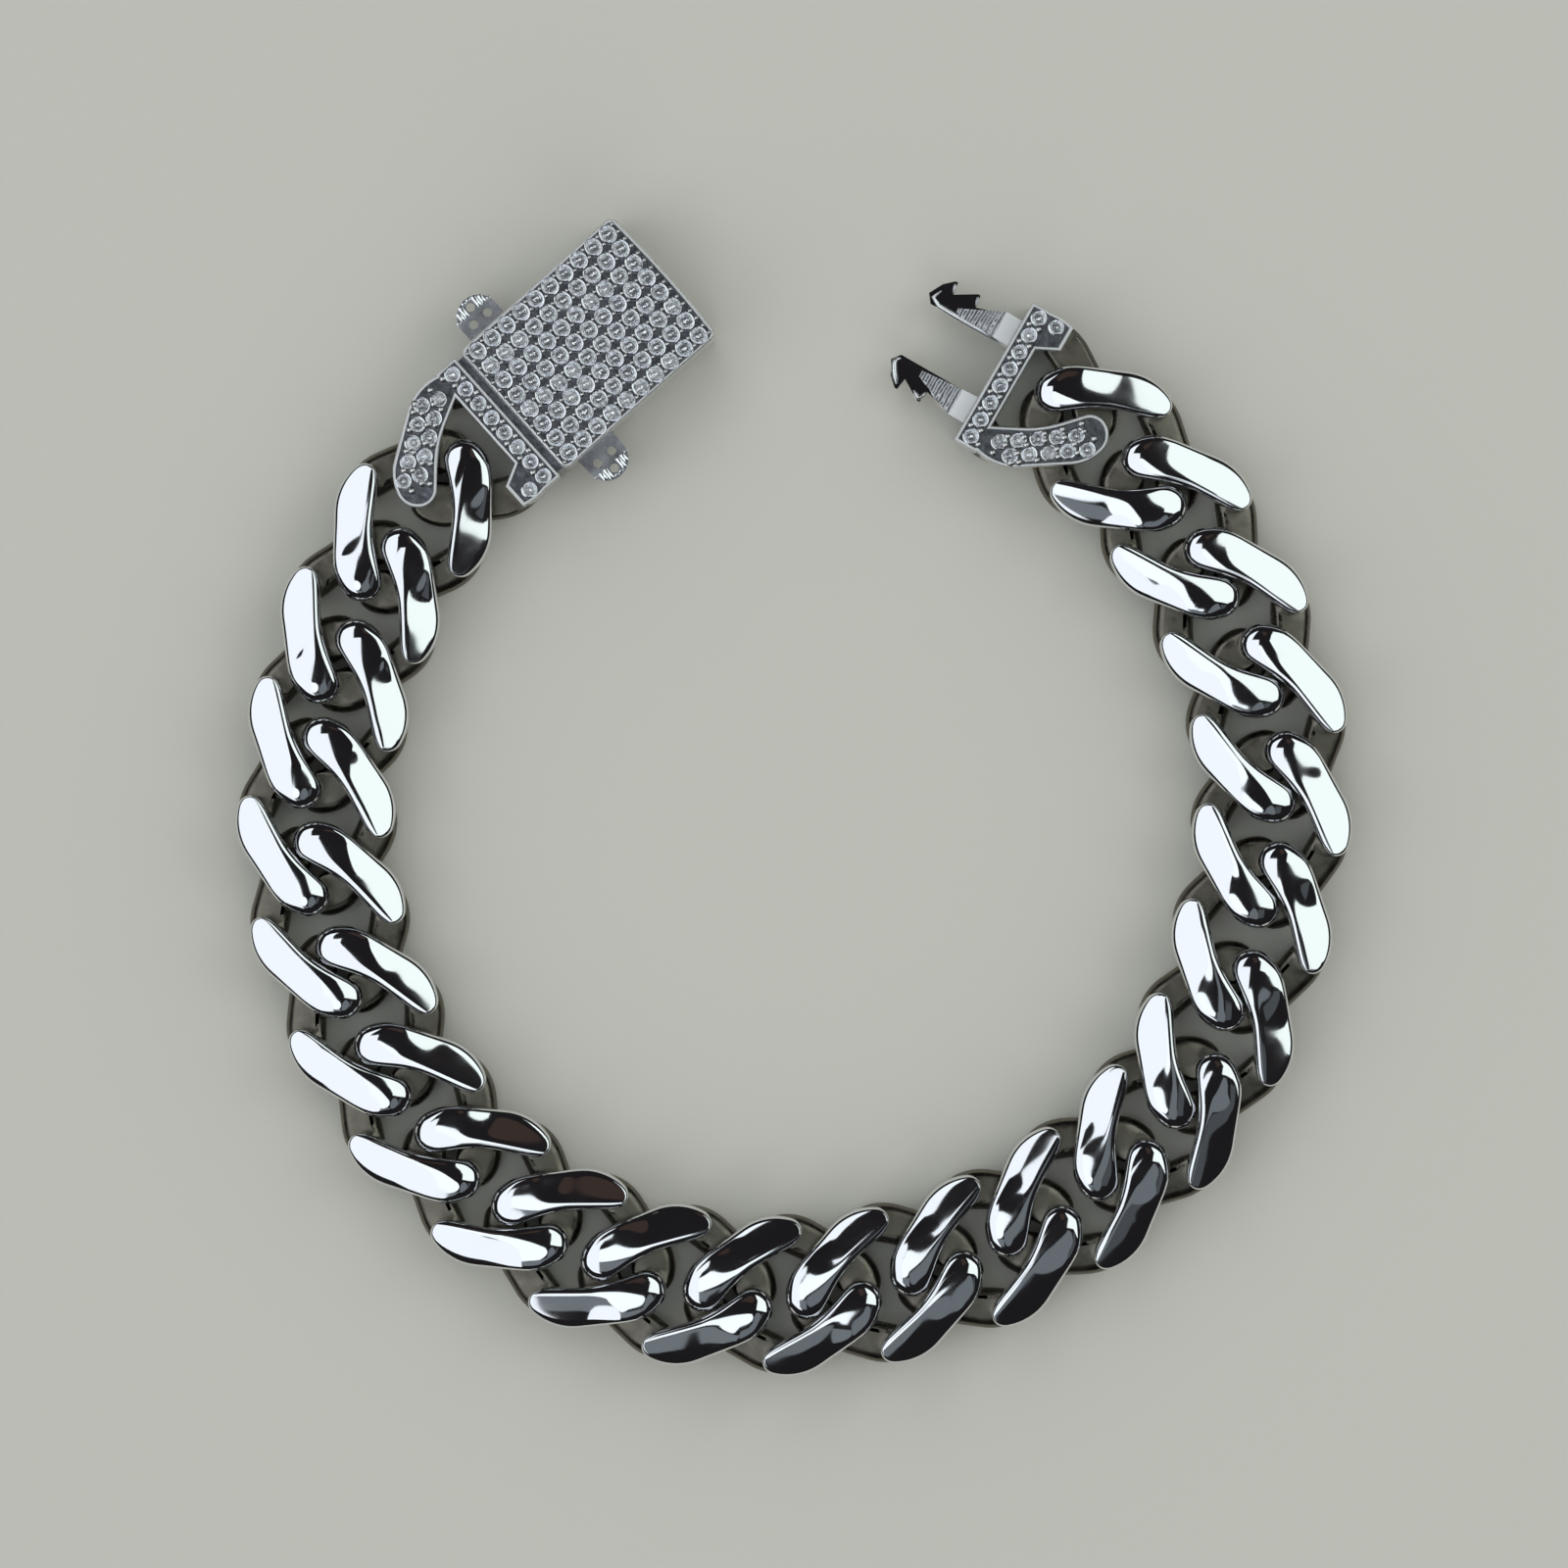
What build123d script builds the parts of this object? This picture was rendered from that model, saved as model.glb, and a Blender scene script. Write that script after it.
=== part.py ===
from build123d import *
import math
import os

# Curb link: every link is the same closed twisted loop
link_length = 14.83
link_width = 11.97
link_height = 4.8
layer_gap = 0.12
nose_gap = 1.04
crown_depth = 0.3
crown_band = 0.8
under_bevel = 0.4
strand_centre = 4.38
arm_slope = 34.4
post_inset = 0.02

# Claw at each end of the clasp: half a link soldered to a cross bar
bar_offset = 0.66
bar_width = 1.97
bar_span = 11.85
stub_reach = 0.95
claw_edge_bevel = 0.1
claw_rim = 0.24

# Box of the clasp
box_length = 15.2
box_width = 11.9
box_height = 5.6
box_wall = 0.75
box_floor = 0.75
box_roof = 1.25
box_end_wall = 0.8
box_corner = 0.7
box_edge_bevel = 0.12
box_rim = 0.25
mouth_bow = 0.2
neck_width = 0.5
neck_step = 0.35

# Push tabs in the sides of the box
tab_radius = 1.65
tab_thickness = 0.9
tab_reach = 2.85
tab_from_end = 2.9
tab_clear = 0.08
tab_hole = 0.68
tab_hole_spread = 0.7
tab_hole_back = 0.2
tab_hole_front = 0.92
flange_width = 4.0
flange_depth = 0.6
flange_height = 1.7

# Barbed prongs that snap into the box
prong_length = 7.2
prong_height = 2.4
prong_inner = 2.2
prong_waist = 1.45
prong_root = 2.2
prong_barb = 0.95
prong_leaf = 1.0
prong_shoulder = 1.08
wedge_length = 4.7
wedge_crest = 1.4
wedge_tip_width = 0.5
prong_edge_bevel = 0.08

# Outer side of a prong: share of its length, of its waist and of its barb
prong_profile = [
    (0.93, 0.00, 0.0),
    (1.00, 0.45, 0.0),
    (0.92, 1.00, 0.3),
    (0.82, 1.00, 1.0),
    (0.79, 1.00, 1.0),
    (0.77, 1.00, 0.0),
    (0.55, 1.00, 1.0),
    (0.52, 1.00, 1.0),
    (0.50, 1.00, 0.0),
]

# Stones and the shallow field that they are set in
field_depth = 0.4
seat_clear = 0.03
box_stone = 1.16
box_stone_height = 0.6
box_stone_pitch = 1.445
claw_stone = 0.96
claw_stone_height = 0.54
claw_stone_pitch = 1.45
claw_row_gap = 1.1
table_share = 0.58
foot_share = 0.5
girdle_share = 0.45

# Rows of stones on a claw's arm: row from the middle, how many, first one in pitches along
claw_arm_rows = [
    (0.5, 5, -1.0),
    (-0.5, 5, -1.5),
]

# Outline of one upper lobe, corner by corner: along as a share of half the length, out as a share of
# half the width, and how much of its shorter side the rounding of the corner takes
lobe_corners = [
    (-0.334, 0.888, 0.750),
    (0.139, 1.065, 0.545),
    (0.940, 0.418, 0.550),
    (1.031, 0.042, 0.400),
    (0.797, -0.268, 0.585),
    (0.359, 0.320, 0.380),
    (-0.150, 0.637, 0.170),
]

# How the chain lies: turn in degrees, slack along and shift to the left in millimetres, joint by joint
first_heading = -138.1
chain_lie = [
    (14.3, 0.00, 0.00),
    (9.1, 0.20, 0.02),
    (10.9, -0.16, 0.19),
    (15.1, -0.14, -0.11),
    (15.5, -0.08, -0.31),
    (10.1, 0.12, -0.35),
    (12.3, -0.01, -0.34),
    (12.8, 0.01, -0.18),
    (11.9, 0.02, -0.34),
    (14.9, -0.05, -0.22),
    (13.9, 0.05, -0.27),
    (13.7, -0.19, -0.45),
    (8.4, 0.09, -0.28),
    (10.6, -0.05, 0.00),
    (13.5, 0.11, -0.04),
    (18.5, -0.03, -0.18),
    (8.9, 0.28, -0.27),
    (10.3, 0.19, -0.30),
    (14.9, 0.05, -0.28),
    (16.9, 0.10, -0.18),
    (7.1, 0.20, -0.37),
    (15.4, -0.01, -0.22),
    (9.2, 0.01, 0.00),
]

# Sizes that follow from the ones above
half_length = link_length / 2
half_width = link_width / 2
half_height = link_height / 2
layer_depth = half_height - layer_gap / 2
link_pitch = (link_length + nose_gap) / 2
bar_far = bar_offset + bar_width
box_start = -(bar_far + neck_width)
box_mouth = box_start - box_length
box_top = box_height - half_height
box_half = box_width / 2
field_floor_box = box_top - field_depth
field_floor_claw = half_height - field_depth


# Link pieces: x runs along the chain, y to the left of travel, z up from the middle plane
def lobe_face(inset=0.0):
    corners = [Vector(along * half_length, -out * half_width) for along, out, _ in lobe_corners]
    points = []
    radii = []
    for number, corner in enumerate(corners):
        back = corners[number - 1] - corner
        ahead = corners[(number + 1) % len(corners)] - corner
        inward_back = back.normalized().rotate(Axis.Z, -90)
        inward_ahead = ahead.normalized().rotate(Axis.Z, 90)
        points.append(corner + (inward_back + inward_ahead) * (inset / (1 + inward_back.dot(inward_ahead))))
        rounding = lobe_corners[number][2]
        opening = math.radians(back.get_angle(ahead))
        radius = rounding * min(back.length, ahead.length) * math.tan(opening / 2)
        bulges_out = back.cross(ahead).Z < 0
        radii.append(radius - inset if bulges_out else radius + inset)
    return make_face(FilletPolyline(*points, radius=radii, close=True))


def edges_at(body, level):
    return [edge for edge in body.edges() if abs(edge.center().Z - level) < 0.001]


def upper_lobe(bevel_depth, bevel_width):
    body = Pos(0, 0, layer_gap / 2) * extrude(lobe_face(), layer_depth)
    body = chamfer(edges_at(body, half_height), bevel_depth, bevel_width)
    return chamfer(edges_at(body, layer_gap / 2), under_bevel)


def link_solid(bevel_depth, bevel_width):
    lobe = upper_lobe(bevel_depth, bevel_width)
    turned = [Rot(0, 0, 180), Rot(180, 0, 0), Rot(0, 180, 0)]
    post_lobe = Pos(0, 0, -half_height / 2) * extrude(lobe_face(post_inset), half_height)
    end_post = post_lobe & Rot(180, 0, 0) * post_lobe
    side_post = post_lobe & Rot(0, 180, 0) * post_lobe
    posts = [end_post, side_post, Rot(0, 0, 180) * end_post, Rot(0, 0, 180) * side_post]
    return lobe + [turn * lobe for turn in turned] + posts


# Claw: x from the bar towards the chain
def block(x_low, x_high, y_low, y_high, z_low, z_high):
    form = Box(x_high - x_low, y_high - y_low, z_high - z_low)
    return Pos((x_low + x_high) / 2, (y_low + y_high) / 2, (z_low + z_high) / 2) * form


def claw_bar():
    bar = block(-bar_far, -bar_offset, -bar_span / 2, bar_span / 2, -half_height, half_height)
    return chamfer(bar.edges(), claw_edge_bevel)


def claw_field():
    lobe = lobe_face(claw_rim)
    keep = Rectangle(2 * link_length, 2 * link_width)
    near_bar = -bar_offset - 2 * claw_rim
    arm = lobe & Pos(near_bar + link_length, 0) * keep
    stub = Rot(0, 0, 180) * lobe & Pos(near_bar + link_length, 0) * keep
    stub = stub & Pos(stub_reach - claw_rim - link_length, 0) * keep
    bar = Rectangle(bar_width - 2 * claw_rim, bar_span - 2 * claw_rim)
    bar = Pos(-bar_offset - bar_width / 2, 0) * bar
    return extrude(Pos(0, 0, field_floor_claw) * (arm + stub + bar), 2 * field_depth)


def claw_solid():
    reach = 2 * link_length
    cut_x = -bar_offset - bar_width / 2
    half = link_solid(claw_edge_bevel, claw_edge_bevel) & block(cut_x, reach, -reach, reach, -reach, reach)
    stub_cut = block(stub_reach, reach, half_width / 2, reach, layer_gap / 2, reach)
    return half - stub_cut + claw_bar()


# Clasp box
def box_outline():
    half = box_half
    corner = box_corner
    near = box_start
    far = box_mouth
    with BuildSketch() as sketch:
        with BuildLine():
            Polyline((far, half), (near, half), (near, -half), (far, -half))
            ThreePointArc((far, -half), (far - mouth_bow, 0), (far, half))
        make_face()
        fillet(sketch.vertices(), corner)
    return sketch.sketch


def box_shell():
    body = Pos(0, 0, -half_height) * extrude(box_outline(), box_height)
    body = chamfer(edges_at(body, box_top) + edges_at(body, -half_height), box_edge_bevel)
    inner = box_half - box_wall
    cavity_end = box_start - box_end_wall
    cavity_low = box_floor - half_height
    cavity_high = box_top - box_roof
    cavity = block(box_mouth - box_wall, cavity_end, -inner, inner, cavity_low, cavity_high)
    field = extrude(Pos(0, 0, field_floor_box) * offset(box_outline(), amount=-box_rim), 2 * field_depth)
    slot_half = tab_radius + tab_clear
    slot_rise = tab_thickness / 2 + tab_clear
    middle_x = box_start - tab_from_end
    slot = block(
        middle_x - slot_half, middle_x + slot_half, -box_width, box_width, tab_level() - slot_rise,
        tab_level() + slot_rise,
    )
    return body - cavity - field - slot


def tab_level():
    return (box_floor - half_height + box_top - box_roof) / 2


def clasp_box_solid(claw):
    neck_half = bar_span / 2 - neck_step
    neck_rise = half_height - neck_step
    neck = block(box_start - box_wall / 2, -bar_far + bar_width / 4, -neck_half, neck_half, -neck_rise, neck_rise)
    return box_shell() + [neck, claw] - claw_field()


# Push tab, drawn for the left side: its disc stands out of the wall and slides towards the axis
def push_tab():
    disc_y = box_half + tab_reach - tab_radius
    wall_y = box_half - box_wall - tab_clear
    flange_low = wall_y - flange_depth
    outline = Pos(0, disc_y) * Circle(tab_radius)
    stem_length = disc_y - flange_low
    outline += Pos(0, disc_y - stem_length / 2) * Rectangle(2 * tab_radius, stem_length)
    for x, y in [(-tab_hole_spread, -tab_hole_back), (tab_hole_spread, -tab_hole_back), (0, tab_hole_front)]:
        outline -= Pos(x, disc_y + y) * Circle(tab_hole / 2)
    plate = Pos(0, 0, -tab_thickness / 2) * extrude(outline, tab_thickness)
    flange = block(
        -flange_width / 2, flange_width / 2, flange_low, wall_y, -flange_height / 2, flange_height / 2
    )
    return Pos(box_start - tab_from_end, 0, tab_level()) * (plate + flange)


# Tongue: bar and claw as on the box, with two barbed prongs
def prong():
    low = -prong_height / 2
    outline = [(0, prong_inner)]
    for along, waist, barb in prong_profile:
        outline.append((along * prong_length, prong_inner + waist * prong_waist + barb * prong_barb))
    outline += [(prong_shoulder, prong_inner + prong_root), (0, prong_inner + prong_root)]
    leaf = extrude(make_face(Polyline(*outline, close=True)), prong_leaf)
    leaf = chamfer(edges_at(leaf, 0), prong_edge_bevel)
    side = [(0, 0), (wedge_length, 0), (wedge_length, prong_leaf), (wedge_crest, prong_height), (0, prong_height)]
    side_face = make_face(Polyline(*[(x, 0, z) for x, z in side], close=True))
    wedge = extrude(side_face, prong_root, dir=(0, 1, 0))
    plan = [
        (0, 0),
        (wedge_length, wedge_tip_width / 2),
        (wedge_length, 1.5 * wedge_tip_width),
        (wedge_crest, prong_root),
        (0, prong_root),
    ]
    wedge = wedge & extrude(make_face(Polyline(*plan, close=True)), prong_height)
    return Pos(0, 0, low) * (leaf + Pos(0, prong_inner, 0) * wedge)


def tongue_solid(claw):
    base = Pos(bar_far - claw_edge_bevel, 0, 0)
    upper = base * prong()
    lower = mirror(upper, about=Plane.XZ)
    return Rot(0, 0, 180) * (claw - claw_field()) + [upper, lower]


# Cut stone: flat foot, eight lower facets, eight crown facets and a table
def cut_stone(diameter, height):
    radius = diameter / 2
    levels = [
        (0, foot_share * radius),
        (girdle_share * height, radius),
        (height, table_share * radius),
    ]
    rings = [[Vector(size, 0, z).rotate(Axis.Z, 45 * step) for step in range(8)] for z, size in levels]
    outlines = [rings[0], rings[-1]]
    for low, high in zip(rings, rings[1:]):
        for step in range(8):
            after = (step + 1) % 8
            outlines.append([low[step], low[after], high[after], high[step]])
    return Solid(Shell([Face(Wire.make_polygon(outline)) for outline in outlines]))


def row_places(room, stone, pitch):
    count = 1 + int((room - stone) / pitch)
    return [(number - (count - 1) / 2) * pitch for number in range(count)]


def box_stone_set():
    stone = cut_stone(box_stone, box_stone_height)
    middle = (box_start + box_mouth) / 2
    placed = []
    for x in row_places(box_length - 2 * box_rim, box_stone, box_stone_pitch):
        for y in row_places(box_width - 2 * box_rim, box_stone, box_stone_pitch):
            placed.append(Pos(middle + x, y, field_floor_box + seat_clear) * stone)
    return placed


def claw_stone_set():
    stone = cut_stone(claw_stone, claw_stone_height)
    slope = math.radians(arm_slope)
    spots = []
    for y in row_places(bar_span - 2 * claw_rim, claw_stone, claw_stone_pitch):
        spots.append((-bar_offset - bar_width / 2, y))
    for row, count, first in claw_arm_rows:
        for i in range(count):
            along = (first + i) * claw_stone_pitch
            out = strand_centre + row * claw_row_gap
            x = along * math.cos(slope) + out * math.sin(slope)
            y = along * math.sin(slope) - out * math.cos(slope)
            spots.append((x, y))
    spots.append((-bar_offset + claw_stone / 2, half_width - 1.5 * claw_rim - claw_stone / 2))
    return [Pos(x, y, field_floor_claw + seat_clear) * stone for x, y in spots]


# Chain: the place of every link, from the claw of the box round to the tongue
def chain_places():
    x = 0.0
    y = 0.0
    heading = first_heading
    places = [Location((x, y, half_height), (0, 0, heading))]
    for turn, slack, shift in chain_lie:
        before = math.radians(heading)
        heading += turn
        after = math.radians(heading)
        middle = (before + after) / 2
        x += link_pitch / 2 * (math.cos(before) + math.cos(after))
        y += link_pitch / 2 * (math.sin(before) + math.sin(after))
        x += slack * math.cos(middle) - shift * math.sin(middle)
        y += slack * math.sin(middle) + shift * math.cos(middle)
        places.append(Location((x, y, half_height), (0, 0, heading)))
    return places


def build_nodes():
    places = chain_places()
    first = places[0]
    last = places[-1]
    links = places[1:-1]
    nodes = {}
    link = link_solid(crown_depth, crown_band)
    for number, place in enumerate(links, start=1):
        nodes[f"link_{number:02d}"] = [place * link]
    claw = claw_solid()
    nodes["clasp_box"] = [first * clasp_box_solid(claw)]
    tab = push_tab()
    nodes["tab_inner"] = [first * tab]
    nodes["tab_outer"] = [first * mirror(tab, about=Plane.XZ)]
    nodes["tongue"] = [last * tongue_solid(claw)]
    nodes["box_stones"] = [first * stone for stone in box_stone_set()]
    nodes["claw_stones"] = [first * stone for stone in claw_stone_set()]
    nodes["tongue_stones"] = [last * Rot(0, 0, 180) * stone for stone in claw_stone_set()]
    return nodes


nodes = build_nodes()
whole = Compound([solid for pieces in nodes.values() for piece in pieces for solid in piece.solids()])
extent = whole.bounding_box()
centring = Pos(-(extent.min.X + extent.max.X) / 2, -(extent.min.Y + extent.max.Y) / 2, 0)
os.makedirs("parts", exist_ok=True)
for name, pieces in nodes.items():
    solids = [solid for piece in pieces for solid in (centring * piece).solids()]
    shape = solids[0] if len(solids) == 1 else Compound(solids)
    export_step(shape, f"parts/{name}.step")
print("box", extent.size.X, extent.size.Y, extent.size.Z)
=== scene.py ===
import math

import bmesh
import bpy
import numpy as np
from mathutils import Matrix, Vector


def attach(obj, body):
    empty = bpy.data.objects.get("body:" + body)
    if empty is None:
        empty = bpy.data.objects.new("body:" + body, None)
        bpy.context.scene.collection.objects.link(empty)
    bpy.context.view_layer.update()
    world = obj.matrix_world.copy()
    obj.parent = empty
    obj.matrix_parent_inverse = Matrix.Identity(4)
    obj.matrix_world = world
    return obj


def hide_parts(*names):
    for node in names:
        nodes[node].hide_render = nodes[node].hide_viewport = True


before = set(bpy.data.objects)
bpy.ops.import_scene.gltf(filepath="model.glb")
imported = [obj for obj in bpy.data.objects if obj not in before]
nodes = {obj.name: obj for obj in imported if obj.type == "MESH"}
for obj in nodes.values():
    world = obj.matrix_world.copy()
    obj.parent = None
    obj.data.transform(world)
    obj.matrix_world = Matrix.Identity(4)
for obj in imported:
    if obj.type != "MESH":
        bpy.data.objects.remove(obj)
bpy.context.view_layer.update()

mm = 0.001
perMetre = 1000  # millimetres in a metre; all sizes below are in millimetres
tiny = 1e-12
print("frame loaded:", len(nodes), "nodes")


# Where the pieces lie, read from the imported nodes

def pointsOf(node):
    return np.array([vertex.co for vertex in nodes[node].data.vertices]) / mm


def trianglesOf(node):
    mesh = nodes[node].data
    mesh.calc_loop_triangles()
    return pointsOf(node)[np.array([triangle.vertices for triangle in mesh.loop_triangles])]


def planHeading(triangles):  # centre and long axis of a form, seen from above
    corners = triangles[:, :, :2]
    edgesA, edgesB = triangles[:, 1] - triangles[:, 0], triangles[:, 2] - triangles[:, 0]
    areas = np.linalg.norm(np.cross(edgesA, edgesB), axis=1)
    centroids = corners.mean(axis=1)
    centre = (areas[:, None] * centroids).sum(axis=0) / areas.sum()
    # second moments of a triangle: its three corners and nine times its middle
    spread = np.einsum("n,nci,ncj->ij", areas, corners - centre, corners - centre)
    spread += 9 * np.einsum("n,ni,nj->ij", areas, centroids - centre, centroids - centre)
    heading = 0.5 * math.atan2(2 * spread[0, 1], spread[0, 0] - spread[1, 1])
    return centre, heading


def turned(points, turn):  # points on the plan, turned about the origin
    c, s = math.cos(turn), math.sin(turn)
    return np.asarray(points) @ np.array([[c, s], [-s, c]])


# Small tools for objects and meshes

def linked(name, data):
    thing = bpy.data.objects.new(name, data)
    bpy.context.scene.collection.objects.link(thing)
    return thing


def pieceOf(name, forms):  # one mesh of several forms: points, then faces of finish 0, of finish 1
    vertices, faces, finishNumbers = [], [], []
    for points, *groups in forms:
        start = len(vertices)
        vertices += list(points)
        for number, group in enumerate(groups):
            faces += [tuple(start + index for index in face) for face in group]
            finishNumbers += [number] * len(group)
    mesh = bpy.data.meshes.new(name)
    mesh.from_pydata([tuple(np.asarray(vertex, float) * mm) for vertex in vertices], [], faces)
    mesh.polygons.foreach_set("material_index", finishNumbers)
    mesh.update()
    return linked(name, mesh)


def changeMesh(piece, change):
    form = bmesh.new()
    form.from_mesh(piece.data)
    change(form)
    form.to_mesh(piece.data)
    form.free()


def faceOutwards(form):
    bmesh.ops.recalc_face_normals(form, faces=form.faces)


def faceUpwards(form):
    for face in form.faces:
        face.normal_update()
        if face.normal.z < 0:
            face.normal_flip()


def smoothBelow(piece, degrees):  # smooth shading, with the sharper edges kept
    def shade(form):
        for face in form.faces:
            face.smooth = True
        for edge in form.edges:
            edge.smooth = len(edge.link_faces) == 2 and edge.calc_face_angle(0) < math.radians(degrees)
    changeMesh(piece, shade)


def finishPiece(piece, finishes, body, slotName, *stoodFor):
    for finish in finishes:
        piece.data.materials.append(finish)
    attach(piece, body)
    if stoodFor:
        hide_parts(*stoodFor)


# Metal finishes: smudges change the gloss, a slow wave bends the reflections

def newFinish(name):
    material = bpy.data.materials.new(name)
    material.use_nodes = True
    tree = material.node_tree
    return material, tree, tree.nodes["Principled BSDF"]


def setInputs(tree, node, inputs):  # a socket is linked, anything else is set
    for name, value in inputs.items():
        if isinstance(value, bpy.types.NodeSocket):
            tree.links.new(value, node.inputs[name])
        else:
            node.inputs[name].default_value = value


def addNode(tree, kind, inputs):
    node = tree.nodes.new("ShaderNode" + kind)
    setInputs(tree, node, inputs)
    return node


metalValues = {
    "smudgeDetail": 6, "smudgeSpan": (0.35, 0.7),  # the part of the noise that the gloss follows
    "waveDetail": 1,
    "ridgeWaver": 1.2, "ridgeWaverScale": 1.5,
}


def metalFinish(name, values, ridgeHeading=0):
    material, tree, shader = newFinish(name)
    place = tree.nodes.new("ShaderNodeTexCoord").outputs["Object"]
    smudge = addNode(tree, "TexNoise", {
        "Scale": perMetre / values["smudgeSize"], "Detail": metalValues["smudgeDetail"], "Vector": place})
    low, high = metalValues["smudgeSpan"]
    glossy, dull = values["roughness"]
    roughness = addNode(tree, "MapRange", {
        "From Min": low, "From Max": high, "To Min": glossy, "To Max": dull, "Value": smudge.outputs["Fac"]})
    wave = addNode(tree, "TexNoise", {
        "Scale": perMetre / values["waveSize"], "Detail": metalValues["waveDetail"], "Vector": place})
    bump = addNode(tree, "Bump", {
        "Strength": 1, "Distance": values["wave"] * mm, "Height": wave.outputs["Fac"]})
    if "ridges" in values:
        pitch, rise = values["ridges"]
        turn = addNode(tree, "Mapping", {"Rotation": (0, 0, -ridgeHeading), "Vector": place})
        bands = addNode(tree, "TexWave", {
            "Scale": perMetre * math.pi / (10 * pitch), "Distortion": metalValues["ridgeWaver"],
            "Detail Scale": metalValues["ridgeWaverScale"], "Vector": turn.outputs["Vector"]})
        bump = addNode(tree, "Bump", {
            "Strength": 1, "Distance": rise * mm, "Height": bands.outputs["Fac"],
            "Normal": bump.outputs["Normal"]})
    setInputs(tree, shader, {
        "Base Color": values["colour"], "Metallic": 1,
        "Roughness": roughness.outputs["Result"], "Normal": bump.outputs["Normal"]})
    return material


polishValues = {
    "colour": (0.87, 0.88, 0.90, 1), "roughness": (0.03, 0.07),
    "smudgeSize": 2.6, "wave": 0.04, "waveSize": 5.0,
}
# insides and undersides of the links: the higher roughness is the rougher cast finish, the dark olive colour is
# painted shade in the gaps between links
castAndShadeValues = {
    "colour": (0.19, 0.176, 0.145, 1), "roughness": (0.24, 0.42),
    "smudgeSize": 1.2, "wave": 0.04, "waveSize": 1.5,
}
mirrorPolish = metalFinish("mirror_polish", polishValues)
castWithPaintedShade = metalFinish("cast_with_painted_shade", castAndShadeValues)


# Links of the chain: each has two domed lobes above, and the same two turned over below

linkValues = {
    # corners of one upper lobe: share of half the length, share of half the width, rounding
    "corners": [
        (-0.334, 0.888, 0.750), (0.139, 1.065, 0.545), (0.940, 0.418, 0.550), (1.031, 0.042, 0.400),
        (0.797, -0.268, 0.585), (0.359, 0.320, 0.380), (-0.150, 0.637, 0.170),
    ],
    "arcPoints": 24,
    # crest of the dome, from the outer tip to the nose, in the same shares
    "crest": [(-0.19, 0.765), (-0.05, 0.675), (0.186, 0.53), (0.41, 0.39), (0.62, 0.26), (0.80, 0.19)],
    "top": 2.38, "tipSink": 0.06, "noseSink": 0.02, "crestMiddle": 0.5,
    "facetSlope": 0.125, "facetEnds": (0.45, 0.85),  # the outer facet and where it dies out towards the nose
    # each side of the dome: gain of slope per mm, late gain, width and depth of its rim
    "sides": {
        "seam": (0.15, 0.0, 0.42, 0.40),
        "nose": (0.15, 0.0, 0.70, 0.66),
        "outer": (0.045, 0.15, 0.32, 0.34),
        "tip": (0.04, 0.05, 0.34, 0.30),
    },
    "latePower": 6, "widestRim": 0.7,  # the rim's widest share of the way from crest to edge
    "underside": 0.06, "joinDrop": 0.18,  # how much deeper the wall runs where two lobes join
    "underRounding": 0.8, "leastRounding": 0.02,
    "edgeBlend": 1, "joinBlend": 3, "sideBlend": 5,  # rays to each side over which changes are softened
    "stations": 26, "fanRays": 14, "domeRings": 7, "rimRings": 5, "underRings": 4,
    "sharpFrom": 40,
}


def lobeOutline(values, halfLength, halfWidth):
    corners = np.array([(along * halfLength, -out * halfWidth) for along, out, _ in values["corners"]])
    outline = []
    for number, corner in enumerate(corners):
        back = corners[number - 1] - corner
        ahead = corners[(number + 1) % len(corners)] - corner
        reach = values["corners"][number][2] * min(np.linalg.norm(back), np.linalg.norm(ahead))
        back = back / np.linalg.norm(back)
        ahead = ahead / np.linalg.norm(ahead)
        weight = math.sin(math.acos(back @ ahead) / 2)
        spots = np.array([corner + back * reach, corner, corner + ahead * reach])
        for u in np.linspace(0, 1, values["arcPoints"]):  # a conic with this weight is an exact arc
            shares = np.array([(1 - u) ** 2, 2 * u * (1 - u) * weight, u * u])
            outline.append(shares @ spots / shares.sum())
    return np.array(outline)


def smoothCurve(points, count, stepsPerPart=30):  # a Catmull-Rom curve through the points, evenly divided
    points = np.array([2 * points[0] - points[1], *points, 2 * points[-1] - points[-2]])
    fine = []
    for a, b, c, d in zip(points, points[1:], points[2:], points[3:]):
        for u in np.linspace(0, 1, stepsPerPart, endpoint=False):
            fine.append(0.5 * (2 * b + (c - a) * u + (2 * a - 5 * b + 4 * c - d) * u ** 2
                               + (3 * b - a - 3 * c + d) * u ** 3))
    fine = np.array([*fine, points[-2]])
    lengths = np.concatenate([[0], np.cumsum(np.linalg.norm(np.diff(fine, axis=0), axis=1))])
    even = np.linspace(0, lengths[-1], count)
    return np.stack([np.interp(even, lengths, fine[:, axis]) for axis in (0, 1)], axis=1)


def rayHit(start, direction, outline, slack=1e-9):  # where a ray from inside first meets the outline
    ends = np.roll(outline, -1, axis=0) - outline
    offset = outline - start
    cross = direction[0] * ends[:, 1] - direction[1] * ends[:, 0]
    cross[np.abs(cross) < tiny] = tiny
    along = (offset[:, 0] * ends[:, 1] - offset[:, 1] * ends[:, 0]) / cross
    share = (offset[:, 0] * direction[1] - offset[:, 1] * direction[0]) / cross
    hits = along[(share >= -slack) & (share <= 1 + slack) & (along > slack)]
    return start + direction * hits.min()


def insideShare(points, outline):  # 1 for each point inside the outline, 0 for the others
    inside = np.zeros(len(points), bool)
    for (x1, y1), (x2, y2) in zip(outline, np.roll(outline, -1, axis=0)):
        crosses = (points[:, 1] < y1) != (points[:, 1] < y2)
        rise = y2 - y1 if abs(y2 - y1) > tiny else tiny
        inside ^= crosses & (points[:, 0] < x1 + (points[:, 1] - y1) / rise * (x2 - x1))
    return inside.astype(float)


def softened(values, width):  # weighted running mean round a closed row
    kernel = np.hanning(2 * width + 3)[1:-1]
    kernel = kernel / kernel.sum()
    padded = np.concatenate([values[-width:], values, values[:width]])
    return np.convolve(padded, kernel, mode="valid")


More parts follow.
